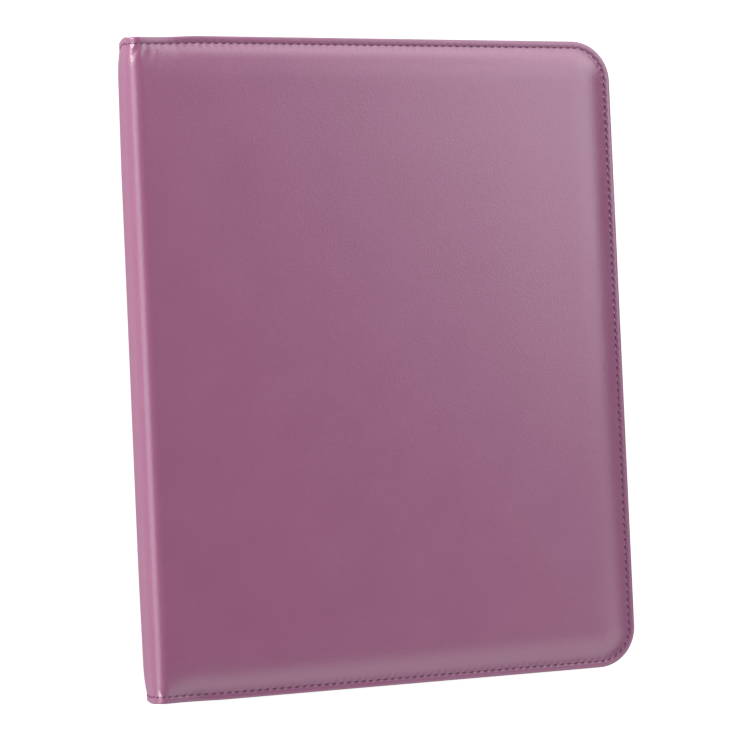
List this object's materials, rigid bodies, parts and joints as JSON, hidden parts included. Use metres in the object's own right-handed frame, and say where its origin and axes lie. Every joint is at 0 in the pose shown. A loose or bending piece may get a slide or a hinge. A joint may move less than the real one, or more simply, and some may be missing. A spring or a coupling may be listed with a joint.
{
  "type": "padfolio",
  "caption": "Padded leatherette padfolio that opens flat at a folding spine, with a writing pad in a sleeve, a pen loop, a document pocket, card slots and a window pocket.",
  "frame": {"origin": "centre of the outline on the face that the closed folder lies on, the outer face of the back cover", "axes": "+X from the spine to the fore edge, +Y up the page, +Z out through the front cover"},
  "size_m": [0.254, 0.3176, 0.0256],
  "materials": {
    "leatherette": "satin",
    "inner_leatherette": "satin",
    "lining": "matte",
    "foam": "matte",
    "board": "matte",
    "thread": "satin",
    "paper": "matte",
    "binding_tape": "matte",
    "clear_film": "gloss"
  },
  "bodies": {
    "back_cover": {"back_cover_skin": "leatherette", "back_cover_foam": "foam", "back_cover_board": "board", "back_cover_lining": "lining", "back_cover_edge_thread": "thread", "back_cover_lining_thread": "thread", "pad_sleeve": "inner_leatherette", "pen_loop": "inner_leatherette"},
    "spine": {"spine_skin": "leatherette", "spine_foam": "foam", "spine_board": "board", "spine_lining": "lining", "spine_thread_top": "thread", "spine_thread_bottom": "thread", "spine_lining_thread_top": "thread", "spine_lining_thread_bottom": "thread"},
    "front_cover": {"front_cover_skin": "leatherette", "front_cover_foam": "foam", "front_cover_board": "board", "front_cover_lining": "lining", "front_cover_edge_thread": "thread", "front_cover_lining_thread": "thread", "document_pocket": "inner_leatherette", "card_slot_1": "inner_leatherette", "card_slot_2": "inner_leatherette", "card_slot_3": "inner_leatherette", "window_film": "clear_film", "window_frame": "inner_leatherette"},
    "writing_pad": {"pad_backing": "board", "pad_sheets": "paper", "pad_tape": "binding_tape"}
  },
  "joints": [
    {"name": "spine_hinge", "type": "hinge", "parent": "back_cover", "child": "spine", "pos_m": [-0.12552, 0, 0.0015], "axis": [0, -1, 0], "range_deg": [0, 90]},
    {"name": "cover_hinge", "type": "hinge", "parent": "spine", "child": "front_cover", "pos_m": [-0.12552, 0, 0.02405], "axis": [0, -1, 0], "range_deg": [0, 90]},
    {"name": "pad_slide", "type": "slide", "parent": "back_cover", "child": "writing_pad", "axis": [0, 1, 0], "range_m": [0, 0.13]}
  ]
}
